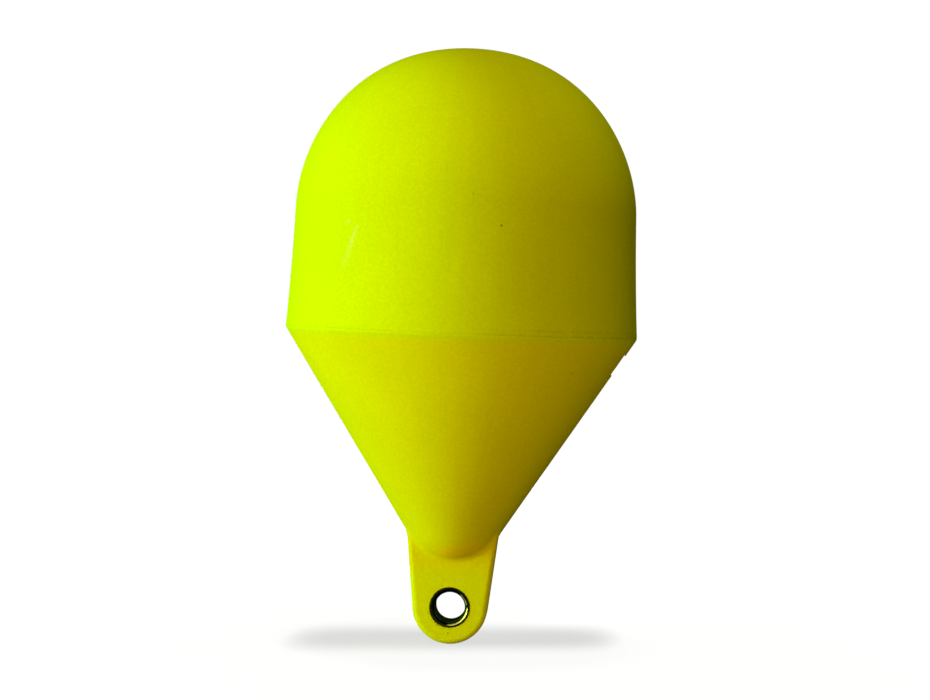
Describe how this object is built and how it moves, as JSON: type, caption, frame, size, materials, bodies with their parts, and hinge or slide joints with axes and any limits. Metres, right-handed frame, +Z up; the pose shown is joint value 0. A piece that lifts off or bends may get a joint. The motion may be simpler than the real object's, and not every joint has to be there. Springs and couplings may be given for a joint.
{
  "type": "mooring buoy",
  "caption": "Rigid foam-filled mooring buoy: a domed float over a cone, with a moulded lug and a bushed eye at its foot for a shackle or chain.",
  "frame": {"origin": "on the float's axis, in the plane of the girth seam, which is the waterline when the buoy carries its chain", "axes": "+Z up along the float's axis towards the crown; Y along the eye's axis, square to the lug's flat faces; +X towards the filler plug"},
  "size_m": [0.4, 0.4, 0.677],
  "materials": {
    "upper_plastic": "matt signal-yellow polyethylene with a fine moulded texture",
    "lower_plastic": "matt signal-yellow polyethylene, a little more golden than the upper half, with a fine moulded texture",
    "bush_steel": "dark tarnished steel, worn smooth in the bore",
    "plug_plastic": "matt signal-yellow polyethylene, as the lower half"
  },
  "bodies": {
    "root": {"float_upper_half": "upper_plastic", "float_lower_half": "lower_plastic", "eye_bush": "bush_steel", "filler_plug": "plug_plastic"}
  },
  "joints": []
}
